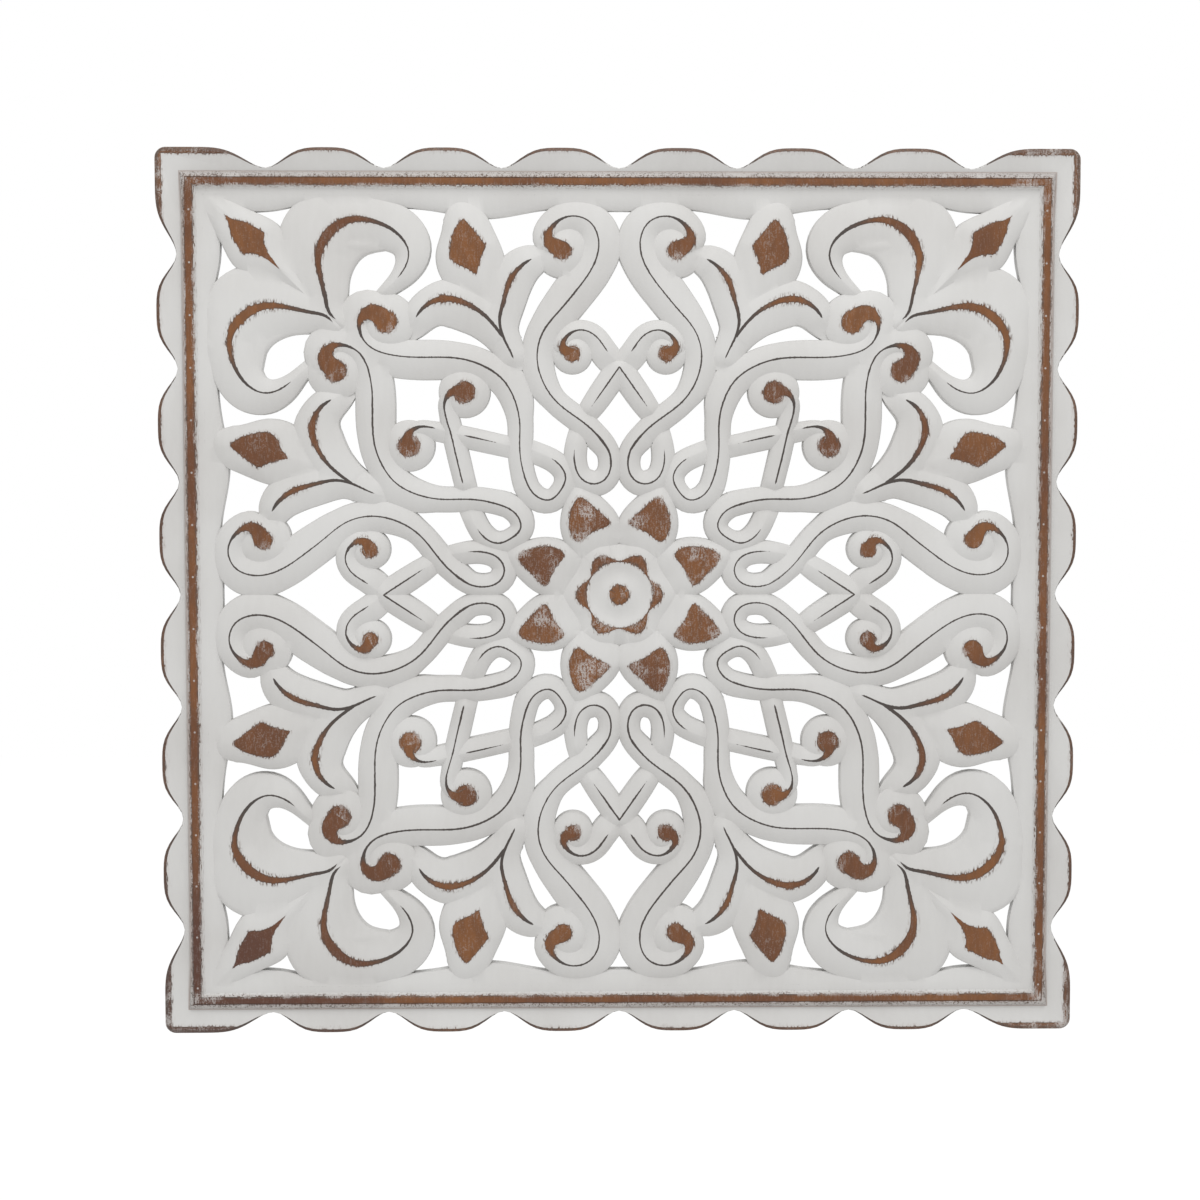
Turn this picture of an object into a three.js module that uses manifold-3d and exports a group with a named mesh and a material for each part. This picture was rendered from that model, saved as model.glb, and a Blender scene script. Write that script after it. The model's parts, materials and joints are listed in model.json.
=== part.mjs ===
// Openwork mandala wall panel, carved from one board and painted white.
// Millimetres, +Z up. The board hangs in the XZ plane with its carved face to -Y.
// Its flat back lies at Y = 0, and the origin is the middle of that back.

import * as THREE from 'three';
import Module from 'manifold-3d';
import { mergeVertices } from 'three/addons/utils/BufferGeometryUtils.js';
import { ConvexGeometry } from 'three/addons/geometries/ConvexGeometry.js';

// Driving sizes of the board
const OVERALL_WIDTH = 600;
const OVERALL_HEIGHT = 580;
const BOARD = 15;

// Frame: scalloped rim, worn bead and the lip inside it
const RIM = 21;
const RIM_CORNER = 4;
const SCALLOPS = 6;
const SCALLOP_DEPTH = 12.8;
const SCALLOP_FULLNESS = 1.8;
const CORNER_LOBE = 71;
const CORNER_RISE = 47;
const BEAD_WIDTH = 10.4;
const BEAD_CROWN = 6.6;
const BEAD_DROP = 0.8;
const BEAD_ROUND = 0.6;
const BORDER_DEPTH = 5;
const LIP_DEPTH = 3;

// Relief, measured down from the face of the board
const RIDGE_DEPTH = 1;
const CROWN_DEPTH = 0.6;
const EDGE_DEPTH = 7;

// Smoothness: how far a straight length may lie from its curve, and the steps of the rounds.
// Strokes are a little wider to make up for what the straight lengths cut off their bends.
const FLATNESS = 2.8;
const BEND_SPARE = 0.7;
const FINE_STEPS = 12;
const LOBE_STEPS = 5;
const CORNER_STEPS = 3;
const BUTTON_SIDES = 8;
const FLOWER_SIDES = 12;

// Half sizes of the field, from the middle to the centre line of the bead
const FIELD_X = OVERALL_WIDTH / 2 - RIM;
const FIELD_Y = OVERALL_HEIGHT / 2 - RIM;
const FIELD = Math.min(FIELD_X, FIELD_Y);

// Heights above the back
const RIDGE = BOARD - RIDGE_DEPTH;
const CROWN = BOARD - CROWN_DEPTH;
const EDGE = BOARD - EDGE_DEPTH;

// The carving is drawn in hundredths of the half field, for the eighth of the panel
// between the upright axis and the diagonal. A stroke is one carved band or leaf:
// [across, up, width to its left, width to its right, rise]. Rise is 1 where the ridge
// is full height, which is left unsaid, and 0 where it dips to the height of the edges.

// Tall scroll beside the upright axis, from its button down to its loop
const TALL_SCROLL_LOOP = 15;
const TALL_SCROLL = [
  [16.8, 86.6, 3.0, 2.2], [15.4, 89.2, 3.4, 3.2], [11.0, 91.5, 4.0, 3.3],
  [7.0, 90.2, 4.0, 4.0], [4.8, 85.1, 4.4, 5.4], [6.1, 79.6, 4.8, 5.2],
  [10.1, 73.6, 5.0, 4.8], [13.9, 68.9, 4.8, 4.8], [17.6, 64.1, 4.0, 4.8],
  [19.2, 58.2, 4.2, 4.3], [18.0, 52.1, 4.4, 4.0], [14.7, 46.9, 3.2, 3.2],
  [10.3, 43.3, 3.2, 3.2], [5.9, 39.6, 3.0, 3.0], [2.6, 35.2, 2.7, 3.0],
  [2.0, 31.5, 2.9, 3.0], [3.3, 28.2, 2.8, 3.4], [5.9, 27.0, 3.2, 3.5],
  [8.8, 28.2, 2.8, 3.4], [10.5, 32.3, 3.0, 2.7], [10.3, 37.0, 2.8, 2.4, 0.8],
  [9.4, 41.0, 2.4, 2.2, 0.1],
];

// Crossed bar that the loop runs on into, up to the point over the small scroll
const POINTED_BAR = [
  [8.6, 42.6, 2.4, 2.4, 0.1], [6.6, 45.6, 2.8, 2.3, 0.9], [3.4, 50.3, 3.0, 2.5],
  [-1.2, 57.0, 3.0, 2.6],
];

// Small scroll inside the tall one
const SMALL_SCROLL = [
  [0.8, 56.5, 3.0, 3.6, 0.5], [3.3, 59.8, 2.8, 3.7], [5.5, 62.7, 2.7, 3.6],
  [8.8, 64.2, 2.5, 3.4], [12.0, 62.9, 3.3, 2.8], [13.4, 60.0, 2.4, 2.4],
];

// Scroll beside the diagonal, from its button to its loop near the middle
const DIAGONAL_SCROLL_LOOP = 14;
const DIAGONAL_SCROLL = [
  [57.2, 70.0, 2.6, 3.2], [60.2, 67.8, 4.6, 3.4],
  [60.5, 64.3, 4.4, 3.2], [59.0, 61.0, 4.2, 3.6], [52.8, 58.1, 5.2, 4.0],
  [44.0, 57.6, 5.2, 4.1], [36.7, 57.2, 5.0, 3.9],
  [31.5, 55.4, 4.0, 4.2], [27.1, 52.1, 3.4, 5.2], [24.6, 47.7, 2.9, 4.8],
  [23.3, 41.8, 2.5, 3.3], [23.3, 35.9, 2.6, 3.2], [22.7, 30.8, 3.0, 2.9],
  [21.3, 26.4, 4.4, 2.8], [19.1, 23.8, 3.8, 2.8], [16.5, 23.1, 3.3, 2.8],
  [13.6, 25.7, 3.2, 2.8], [12.6, 28.6, 3.0, 2.8], [13.9, 31.5, 2.8, 2.6],
  [18.7, 34.5, 2.9, 2.4, 0.7], [21.6, 35.6, 2.9, 2.4, 0.1],
];

// Bars that cross inside the diagonal scrolls: the flat one runs under the steep one
const FLAT_BAR = [
  [24.2, 35.9, 2.7, 2.8, 0.1], [27.5, 36.7, 2.6, 2.9, 0.9], [35.2, 38.5, 2.6, 2.9, 1],
  [39.6, 39.5, 2.6, 2.8, 0.5], [44.0, 40.7, 1.8, 3.1, 1], [48.0, 40.4, 2.0, 3.6],
];
const STEEP_BAR = FLAT_BAR.map(([u, v, left, right, rise], i) => [
  v, u, right, left, i === 0 ? rise : 1,
]);

// Leaves at either side of the bud: the upright one has the stem
const UPRIGHT_LEAF = [
  [23.8, 54.2, 4.0, 4.0, 0.2], [24.9, 57.8, 4.0, 4.0], [27.4, 63.4, 4.8, 4.2],
  [27.9, 66.6, 5.6, 5.0], [27.0, 71.0, 5.8, 5.0],
  [25.3, 76.3, 5.4, 5.0], [21.3, 80.7, 3.8, 5.0], [17.5, 82.4, 3.6, 3.2, 0.4],
];
const LEANING_LEAF = [
  [27.2, 62.6, 4.0, 4.2], [31.5, 68.2, 5.0, 5.6], [35.2, 70.8, 4.8, 6.8],
  [40.3, 72.2, 4.4, 7.3], [44.0, 71.1, 4.0, 6.8], [46.8, 68.3, 4.2, 5.2],
  [48.6, 64.8, 3.6, 3.6, 0.4],
];

// Broad leaf that curls round the eye next to the corner
const CORNER_LEAF = [
  [64.5, 65.5, 3.0, 3.0, 0.8], [67.4, 68.2, 4.2, 4.0], [68.6, 71.4, 5.6, 5.6],
  [69.6, 76.5, 6.4, 7.4], [70.6, 82.1, 7.8, 9.4], [68.4, 87.6, 8.0, 10.2],
  [62.6, 91.0, 7.6, 6.0], [56.5, 90.2, 6.6, 5.6], [51.3, 87.0, 5.0, 6.2],
  [49.0, 82.9, 3.9, 5.0], [50.2, 78.5, 3.1, 3.8], [54.6, 73.2, 2.4, 3.0, 0.6],
];

// Round buttons at the ends of the scrolls: [across, up, foot radius, crown radius]
const BUTTONS = [
  [13.3, 84.0, 6.2, 2.6], [11.0, 58.9, 5.4, 2.0], [55.4, 66.6, 7.2, 3.4],
];
const BAR_BUTTON = [49.1, 36.4, 6.6, 2.8];

// Raised petals and buds, each as an outline and the flat crown on top of it
const BUD = {
  outline: [
    [33.0, 94.0], [28.0, 87.0], [26.6, 78.0], [30.0, 68.0], [41.6, 76.0],
    [42.2, 85.6], [39.0, 94.0],
  ],
  crown: [[35.9, 90.8], [31.2, 84.3], [33.4, 77.9], [39.6, 80.3], [39.6, 84.7]],
};
const CORNER_BUD = {
  outline: [
    [97.0, 97.0], [86.0, 94.5], [79.6, 89.5], [75.0, 81.0], [69.0, 69.0],
    [81.0, 75.0], [89.5, 79.6], [94.5, 86.0],
  ],
  crown: [
    [92.2, 92.2], [82.9, 88.0], [81.8, 83.4], [79.2, 79.2], [83.4, 81.8], [88.0, 82.9],
  ],
};
const PETAL = {
  outline: [
    [-0.6, 18.6], [4.2, 23.8], [9.6, 27.2], [13.8, 20.0], [13.8, 13.2], [9.0, 8.8], [-0.6, 11.0],
  ],
  crown: [[9.5, 23.5], [5.8, 20.8], [2.2, 16.9], [9.9, 12.8], [11.7, 18.3]],
};

// Wavy inner edge of the frame's lip along half a side, and where it turns the corner
const LIP_EDGE = [[34, 91.6], [0, 93.8]];
const LIP_CORNER = 92.6;

// Small flower in the middle: [radius, height above the back] from the middle out
const FLOWER_LOBES = 6;
const FLOWER_SWELL = 0.09;
const FLOWER_ROUND = 8;
const FLOWER_PROFILE = [
  [13, EDGE + 0.5], [9.9, RIDGE - 0.6], [7.9, RIDGE - 0.6], [6.2, EDGE + 2],
  [4.4, EDGE + 2], [2.2, CROWN - 0.6],
];

const UPRIGHT = new THREE.Vector3(0, 0, 1);

const wasm = await Module();
wasm.setup();

// Closed geometry to a solid, with its shared vertices merged
function solidFrom(geometry) {
  const bare = geometry.clone();
  for (const name of Object.keys(bare.attributes)) {
    if (name !== 'position') bare.deleteAttribute(name);
  }
  const merged = mergeVertices(bare, 1e-4);
  const corners = merged.index.array;
  const triVerts = [];
  for (let i = 0; i < corners.length; i += 3) {
    const [a, b, c] = corners.slice(i, i + 3);
    if (a !== b && b !== c && c !== a) triVerts.push(a, b, c);
  }
  return new wasm.Manifold(new wasm.Mesh({
    numProp: 3,
    vertProperties: new Float32Array(merged.attributes.position.array),
    triVerts: new Uint32Array(triVerts),
  }));
}

function join(solids) {
  return solids.reduce((whole, next) => whole.add(next));
}

// Geometry of rings of points joined in order, with flat ends or closed round
function loft(rings, closed = false) {
  const size = rings[0].length;
  const index = [];
  const count = closed ? rings.length : rings.length - 1;
  for (let i = 0; i < count; i++) {
    const a = i * size;
    const b = ((i + 1) % rings.length) * size;
    for (let j = 0; j < size; j++) {
      const k = (j + 1) % size;
      index.push(a + j, b + j, b + k, a + j, b + k, a + k);
    }
  }
  if (!closed) {
    const last = (rings.length - 1) * size;
    for (let j = 1; j < size - 1; j++) {
      index.push(0, j, j + 1, last, last + j + 1, last + j);
    }
  }
  const geometry = new THREE.BufferGeometry();
  geometry.setAttribute('position', new THREE.Float32BufferAttribute(rings.flat(2), 3));
  geometry.setIndex(index);
  return geometry;
}

// Place on the board of a point of the drawing
function place(u, v) {
  return new THREE.Vector2((u * FIELD_X) / 100, (v * FIELD_Y) / 100);
}

// Size on the board of a width in the drawing
function across(share) {
  return (share * FIELD) / 100;
}

// Stations along a stroke: as few as keep the straight lengths near the curve
function stationsOf(points, loopStart) {
  const curve = new THREE.CatmullRomCurve3(
    points.map(([u, v]) => new THREE.Vector3(...place(u, v), 0)), false, 'centripetal');
  const spans = points.length - 1;
  const fine = Array.from({ length: spans * FINE_STEPS + 1 }, (_, i) => {
    const t = i / (spans * FINE_STEPS);
    const span = Math.min(Math.floor(t * spans), spans - 1);
    const mix = (k) => THREE.MathUtils.lerp(
      points[span][k] ?? 1, points[span + 1][k] ?? 1, t * spans - span);
    return {
      at: curve.getPoint(t), tangent: curve.getTangent(t),
      left: across(mix(2)) + BEND_SPARE, right: across(mix(3)) + BEND_SPARE, rise: mix(4),
    };
  });
  const kept = new Set([0, loopStart * FINE_STEPS, fine.length - 1]);
  const stops = [...kept].sort((a, b) => a - b);
  stops.slice(1).forEach((stop, i) => keepBends(fine, stops[i], stop, kept));
  return [...kept].sort((a, b) => a - b).map((i) => ({
    ...fine[i], loops: i === loopStart * FINE_STEPS,
  }));
}

// Keeps the place that lies farthest from a straight length, as long as it is too far
function keepBends(fine, first, last, kept) {
  const chord = new THREE.Line3(fine[first].at, fine[last].at);
  const nearest = new THREE.Vector3();
  let farthest = first;
  let most = FLATNESS;
  for (let i = first + 1; i < last; i++) {
    const away = chord.closestPointToPoint(fine[i].at, true, nearest).distanceTo(fine[i].at);
    if (away > most) {
      most = away;
      farthest = i;
    }
  }
  if (farthest === first) return;
  kept.add(farthest);
  keepBends(fine, first, farthest, kept);
  keepBends(fine, farthest, last, kept);
}

// One carved band or leaf: a gable that follows its line. The loop at the end of a scroll
// runs back under it, so it is a length of its own that shares a section with the rest.
function stroke(points, loopStart = 0) {
  const stations = stationsOf(points, loopStart);
  const rings = stations.map(({ at, tangent, left, right, rise }) => {
    const top = EDGE + (RIDGE - EDGE) * rise;
    const section = [[-right, 0], [-right, EDGE], [0, top], [left, EDGE], [left, 0]];
    return section.map(([side, height]) => [
      at.x - tangent.y * side, at.y + tangent.x * side, height,
    ]);
  });
  if (!loopStart) return solidFrom(loft(rings));
  const cut = stations.findIndex(({ loops }) => loops);
  return solidFrom(loft(rings.slice(0, cut + 1))).add(solidFrom(loft(rings.slice(cut))));
}

// Flat-topped button, bud or petal over a convex outline
function raised(outline, crown) {
  const level = (points, height) => points.map((p) => new THREE.Vector3(p.x, p.y, height));
  return solidFrom(new ConvexGeometry([
    ...level(outline, 0), ...level(outline, EDGE), ...level(crown, CROWN),
  ]));
}

function circle([u, v], radius) {
  const middle = place(u, v);
  return Array.from({ length: BUTTON_SIDES }, (_, i) => {
    const angle = ((i + 0.5) / BUTTON_SIDES) * 2 * Math.PI;
    return new THREE.Vector2(across(radius), 0).rotateAround(new THREE.Vector2(), angle).add(middle);
  });
}

function button([u, v, foot, crown]) {
  return raised(circle([u, v], foot), circle([u, v], crown));
}

function bloom({ outline, crown }) {
  const placed = (points) => points.map(([u, v]) => place(u, v));
  return raised(placed(outline), placed(crown));
}

// Swaps a drawn form over the diagonal
const swapPoints = (points) => points.map(([u, v, ...rest]) => [v, u, ...rest]);
const swapStroke = (points) => points.map(([u, v, left, right, ...rest]) => [
  v, u, right, left, ...rest,
]);
const swapBloom = ({ outline, crown }) => ({
  outline: swapPoints(outline), crown: swapPoints(crown),
});

// Rim, border, bead and lip: one section carried round the board with mitred corners
function frame() {
  const half = BEAD_WIDTH / 2;
  const crown = BEAD_CROWN / 2;
  const beadTop = BOARD - BEAD_DROP;
  const section = (lipEdge) => [
    [RIM + 1, 0], [RIM + 1, BOARD], [RIM, BOARD], [half, BOARD - BORDER_DEPTH],
    [crown, beadTop - BEAD_ROUND], [0, beadTop], [-crown, beadTop - BEAD_ROUND],
    [-half, BOARD - LIP_DEPTH], [-across(100 - lipEdge), EDGE], [-across(100 - lipEdge), 0],
  ];
  const alongSide = [...LIP_EDGE, ...LIP_EDGE.slice(0, -1).reverse().map(([u, v]) => [-u, v])];
  const rings = [];
  for (let turn = 0; turn < 4; turn++) {
    const [length, reach] = turn % 2 ? [FIELD_Y, FIELD_X] : [FIELD_X, FIELD_Y];
    const placed = (x, y, height) => {
      const p = new THREE.Vector3(x, y, height);
      return p.applyAxisAngle(UPRIGHT, (turn * Math.PI) / 2).toArray();
    };
    rings.push(section(LIP_CORNER).map(([out, height]) => placed(length + out, reach + out, height)));
    for (const [u, v] of alongSide) {
      rings.push(section(v).map(([out, height]) => placed((u * length) / 100, reach + out, height)));
    }
  }
  return solidFrom(loft(rings, true));
}

// Scalloped outline of the board: corner lobes and a row of arches on each side
function scallopedPlate() {
  const shape = new THREE.Shape(scallopOutline());
  return solidFrom(new THREE.ExtrudeGeometry(shape, { depth: BOARD, bevelEnabled: false }));
}

function scallopOutline() {
  const points = [];
  const sides = [
    [OVERALL_WIDTH, OVERALL_HEIGHT], [OVERALL_HEIGHT, OVERALL_WIDTH],
    [OVERALL_WIDTH, OVERALL_HEIGHT], [OVERALL_HEIGHT, OVERALL_WIDTH],
  ];
  sides.forEach(([length, reach], quarter) => {
    for (const [along, out] of sideOutline(length)) {
      const p = new THREE.Vector2(along, out + reach / 2);
      points.push(p.rotateAround(new THREE.Vector2(), (-quarter * Math.PI) / 2));
    }
  });
  return points;
}

// Height of a scallop from its crest, 0, to the rounded valley, 1
function scallopDrop(t) {
  return (-SCALLOP_DEPTH * (1 - Math.cos(Math.PI * t ** SCALLOP_FULLNESS))) / 2;
}

// Points of the top side from left to right, as [along, distance out from the crest line]
function sideOutline(length) {
  const pitch = (length - 2 * CORNER_LOBE) / SCALLOPS;
  const points = [];
  for (let lobe = 0; lobe < SCALLOPS; lobe++) {
    const middle = (lobe - (SCALLOPS - 1) / 2) * pitch;
    for (let i = 0; i < LOBE_STEPS; i++) {
      const t = (2 * i) / LOBE_STEPS - 1;
      points.push([middle + (t * pitch) / 2, scallopDrop(Math.abs(t))]);
    }
  }
  const rise = [];
  for (let i = 0; i <= CORNER_STEPS; i++) {
    const t = i / CORNER_STEPS;
    rise.push([length / 2 - CORNER_LOBE + t * CORNER_RISE, scallopDrop(1 - t)]);
  }
  const bevel = [length / 2 - RIM_CORNER, 0];
  const left = [...rise, bevel].map(([x, y]) => [-x, y]).reverse();
  return [...left, ...points.slice(1), ...rise, bevel];
}

// Small flower in the middle, its rim swelling into lobes
function flower() {
  const top = FLOWER_PROFILE.at(-1)[1];
  const profile = [[FLOWER_PROFILE[0][0], 0], ...FLOWER_PROFILE, [0, top], [0, 0]];
  const rings = Array.from({ length: FLOWER_SIDES }, (_, i) => {
    const angle = (i / FLOWER_SIDES) * 2 * Math.PI;
    return profile.map(([radius, height]) => {
      const lobed = radius > FLOWER_ROUND ? Math.cos(FLOWER_LOBES * angle) : 0;
      const swell = 1 + FLOWER_SWELL * lobed;
      const r = across(radius) * swell;
      return [r * Math.cos(angle), r * Math.sin(angle), height];
    });
  });
  return solidFrom(loft(rings, true));
}

// Strokes and raised forms of the quarter at the top right
function quarter() {
  const strokes = [POINTED_BAR, SMALL_SCROLL, UPRIGHT_LEAF, LEANING_LEAF, CORNER_LEAF];
  return join([
    stroke(TALL_SCROLL, TALL_SCROLL_LOOP),
    stroke(DIAGONAL_SCROLL, DIAGONAL_SCROLL_LOOP),
    stroke(swapStroke(TALL_SCROLL), TALL_SCROLL_LOOP),
    stroke(swapStroke(DIAGONAL_SCROLL), DIAGONAL_SCROLL_LOOP),
    ...[...strokes, ...strokes.map(swapStroke)].map((points) => stroke(points)),
    stroke(FLAT_BAR),
    stroke(STEEP_BAR),
    ...[...BUTTONS, BAR_BUTTON].map(button),
    ...swapPoints([...BUTTONS, BAR_BUTTON]).map(button),
    bloom(BUD),
    bloom(swapBloom(BUD)),
    bloom(PETAL),
    bloom(swapBloom(PETAL)),
    bloom(CORNER_BUD),
  ]);
}

// The same solid seen in a mirror that turns left to right or top to bottom
function mirrored(solid, axis) {
  const mesh = solid.getMesh();
  const vertProperties = mesh.vertProperties.slice();
  for (let i = axis; i < vertProperties.length; i += 3) vertProperties[i] *= -1;
  const triVerts = mesh.triVerts.slice();
  for (let i = 0; i < triVerts.length; i += 3) {
    [triVerts[i], triVerts[i + 1]] = [triVerts[i + 1], triVerts[i]];
  }
  return new wasm.Manifold(new wasm.Mesh({ numProp: 3, vertProperties, triVerts }));
}

function panelSolid() {
  const right = quarter();
  const top = right.add(mirrored(right, 0));
  const lattice = top.add(mirrored(top, 1));
  return lattice.add(flower()).add(frame()).intersect(scallopedPlate());
}

function geometryOf(solid) {
  const mesh = solid.getMesh();
  const geometry = new THREE.BufferGeometry();
  geometry.setAttribute('position', new THREE.BufferAttribute(mesh.vertProperties, 3));
  geometry.setIndex(new THREE.BufferAttribute(mesh.triVerts, 1));
  return geometry;
}

const whitewash = new THREE.MeshStandardMaterial({ color: 0xc9c7c4, roughness: 0.72, metalness: 0 });
const panel = new THREE.Mesh(geometryOf(panelSolid()), whitewash);
panel.name = 'panel';
panel.rotation.x = Math.PI / 2;

const group = new THREE.Group();
group.add(panel);

export default group;
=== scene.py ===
"""Carved openwork wall panel, painted white and worn to brown wood on its ridges.

Metres, +Z up. The panel hangs in the XZ plane, its carved face to -Y and its flat back at Y = 0.
The carving is drawn lying down, with X to the right, Y up the panel and Z out of the board,
and is stood up once it is one mesh.
"""

import json
import math

import bpy
import numpy as np
from mathutils import Matrix, Vector

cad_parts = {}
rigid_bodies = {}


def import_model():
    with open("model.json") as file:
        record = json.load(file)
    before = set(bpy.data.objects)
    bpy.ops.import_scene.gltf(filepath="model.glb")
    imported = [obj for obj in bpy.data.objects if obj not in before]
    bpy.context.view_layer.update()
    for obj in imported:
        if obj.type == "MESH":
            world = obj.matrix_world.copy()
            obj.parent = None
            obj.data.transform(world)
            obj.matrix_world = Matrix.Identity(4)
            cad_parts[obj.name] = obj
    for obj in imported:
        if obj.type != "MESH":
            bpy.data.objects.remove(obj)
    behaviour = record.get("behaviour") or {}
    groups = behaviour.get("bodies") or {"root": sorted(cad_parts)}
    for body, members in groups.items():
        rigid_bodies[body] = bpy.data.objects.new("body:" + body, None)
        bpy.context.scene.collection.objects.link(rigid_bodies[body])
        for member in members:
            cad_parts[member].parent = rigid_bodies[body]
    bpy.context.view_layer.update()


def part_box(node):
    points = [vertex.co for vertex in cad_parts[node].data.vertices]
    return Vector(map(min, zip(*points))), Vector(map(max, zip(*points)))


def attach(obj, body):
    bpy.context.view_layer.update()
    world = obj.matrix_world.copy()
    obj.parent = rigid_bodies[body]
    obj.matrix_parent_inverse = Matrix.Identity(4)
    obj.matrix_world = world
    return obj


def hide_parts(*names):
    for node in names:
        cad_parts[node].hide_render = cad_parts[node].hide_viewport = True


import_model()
panel_low, panel_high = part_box("panel")

# Driving sizes, from the solid's box
WIDTH = panel_high.x - panel_low.x
HEIGHT = panel_high.z - panel_low.z
BOARD = panel_high.y - panel_low.y
MM = 0.001

# Frame: scalloped rim, border, bead and the lip inside it
RIM = 21 * MM
RIM_CORNER = 7 * MM
RIM_TOP = BOARD - 0.5 * MM
SCALLOPS = 6
SCALLOP_DEPTH = 12.8 * MM
SCALLOP_FULLNESS = 1.7
CORNER_LOBE = 71 * MM
CORNER_RISE = 46 * MM
RIM_WEAR_LINE = 18.9 * MM
CORNER_WEAR = 2.4 * MM
EDGE_CUT = 1.1 * MM
CREST_CUT = 2.3 * MM
VALLEY_CUT = 0.6 * MM
BEAD_WIDTH = 10.4 * MM
BEAD_CROWN = 7 * MM
BEAD_DROP = 0.8 * MM
BORDER_DEPTH = 4.3 * MM
BORDER_WIDTH = 3 * MM
BORDER_RISE = 0.6 * MM
LIP_DEPTH = 3 * MM

# Half sizes of the field, from the middle to the centre line of the bead
FIELD_X = WIDTH / 2 - RIM
FIELD_Y = HEIGHT / 2 - RIM
FIELD = min(FIELD_X, FIELD_Y)

# Heights above the back
RIDGE = BOARD - 1 * MM
CROWN = BOARD - 0.6 * MM
BUTTON_TOP = RIDGE - 0.03 * MM
EDGE = BOARD - 5.4 * MM
BELLY_TOP = RIDGE - 1 * MM

# Smoothness, the share of a bend's radius that a band may fill, and the number of faces up to
# which a loose bit is a sliver
STEP = 2.6 * MM
EASING = 12
WIDTH_EASING = 6
BEND_ROOM = 0.8
BUTTON_SIDES = 40
BLOOM_SIDES = 88
FLOWER_SIDES = 120
LOBE_STEPS = 18
CORNER_STEPS = 14
ARC_STEPS = 4
SHARP_ANGLE = math.radians(32)
SLIVER_FACES = 100

# Pale pin marks down the upright beads, and the corner where the wood is darkest
PIN_SPACING = 34 * MM
PIN_START = 12 * MM
PIN_SIZE = 0.9 * MM
DARK_CORNER = (-FIELD_X, 0, -FIELD_Y)
DARK_REACH = 150 * MM

# Half width of the worn line along a plain ridge, in hundredths of the half field
LINE = 0.155

# Distance outside a worn crown where the paint is whole, and share of each crown that still
# holds paint
FAR = 9 * MM
PAINT_LEFT = {"band": 0.12, "button": 0.45, "bud": 0.2, "petal": 0.5, "corner_bud": 0.02,
              "belly": 0, "flower": 0.4}

# Where along half a side, in hundredths, the rim and the bead start to be rubbed harder, and
# where they are rubbed hardest
RUBBED_RIM = (78, 91)
RUBBED_BEAD = (88, 100)

# Colours of the worn wood
DEEP_WOOD = (0.118, 0.046, 0.02)
WARM_WOOD = (0.175, 0.07, 0.024)
DARK_GRAIN = (0.08, 0.037, 0.02)
CORNER_WOOD = (0.07, 0.03, 0.022)
DUSKY_WOOD = (0.065, 0.052, 0.044)
GREY_WOOD = (0.1, 0.078, 0.066)
# Dark grey brown of the worn lines, also painted shade in the small groove of the bead
LINE_WOOD_AND_GROOVE_SHADE = (0.055, 0.046, 0.041)

# Colours of the paint
SHADED_PAINT = (0.475, 0.466, 0.452)
CLEAN_PAINT = (0.515, 0.51, 0.498)
BRUSHED_PAINT = (0.57, 0.565, 0.555)
# Thin brownish paint. On the upright beads' outer side it is also painted shade of the cove
THIN_PAINT_AND_COVE_SHADE = (0.27, 0.215, 0.19)
STREAK = (0.11, 0.08, 0.066)

# Colours of the bare back
DULL_BOARD = (0.30, 0.185, 0.105)
PALE_BOARD = (0.37, 0.24, 0.145)
BOARD_GRIT = (0.19, 0.11, 0.06)
BOARD_RUB = (0.47, 0.40, 0.33)

# Studio, and the camera that gives the photo's frame, with its shift in the photo's pixels
FLOOR_REACH = 8
FLOOR_LEVEL = -1.2
LAMP_PLACE = Vector((0.05, -0.95, 1.75))
LAMP_SIZE = 1.1
LAMP_POWER = 19
SENSOR = 36
FOCAL_LENGTH = 71.7
EYE_DISTANCE = 1.58
EYE_TURN = math.radians(-1.17)
EYE_RAISE = math.radians(3.86)
PHOTO_SIDE = 1200
EYE_SHIFT = (-19, -6.6)

# Strokes of the carving, in hundredths of the half field, for the eighth of the panel between
# the upright axis and the diagonal: across, up, width to the left, width to the right, half
# width of the worn crown, and rise: 1 for a ridge at full height, 0 where it dips to its edges
# and less where it dives under a neighbour. A loop sets off along the end of its scroll.
TALL_SCROLL = [
    (13.6, 83.6, 3.0, 3.0, 2.2, 1), (16.6, 86.4, 3.0, 3.9, 1.2, 1), (15.4, 89.2, 3.4, 3.8, 0.5, 1),
    (11.0, 91.5, 4.0, 3.8, LINE, 1), (7.0, 90.2, 4.0, 4.7, LINE, 1), (4.8, 85.1, 4.4, 5.7, LINE, 1),
    (6.1, 79.6, 5.2, 5.0, LINE, 1), (10.1, 73.6, 5.6, 4.8, LINE, 1),
    (13.9, 68.9, 5.1, 4.8, LINE, 1), (17.6, 64.1, 4.0, 4.9, LINE, 1),
    (19.2, 58.2, 3.8, 4.2, LINE, 1), (18.0, 52.1, 4.2, 3.7, LINE, 1),
    (14.7, 46.9, 3.2, 3.0, LINE, 1), (10.3, 43.3, 3.3, 3.0, LINE, 1),
    (5.9, 39.6, 3.8, 2.7, LINE, 1), (2.6, 35.2, 3.1, 2.6, LINE, 1),
]
TALL_LOOP = [
    *TALL_SCROLL[-2:], (2.0, 31.5, 3.1, 2.8, LINE, 1),
    (3.3, 28.2, 3.1, 3.1, LINE, 1), (5.9, 27.0, 3.6, 3.2, LINE, 1), (8.8, 28.2, 3.1, 3.2, LINE, 1),
    (10.5, 32.3, 3.1, 2.7, LINE, 1), (10.3, 37.0, 3.2, 2.4, LINE, 0.8),
    (9.4, 41.0, 2.4, 2.2, LINE, 0.1),
]
POINTED_BAR = [
    (8.6, 42.6, 2.4, 2.4, LINE, 0.1), (6.6, 45.6, 3.2, 2.8, LINE, 0.9),
    (3.4, 50.3, 3.3, 3.1, LINE, 1), (0, 55.3, 3.3, 3.1, LINE, 1),
    (-1.8, 57.8, 3.0, 3.1, LINE, -0.4),
]
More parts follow.
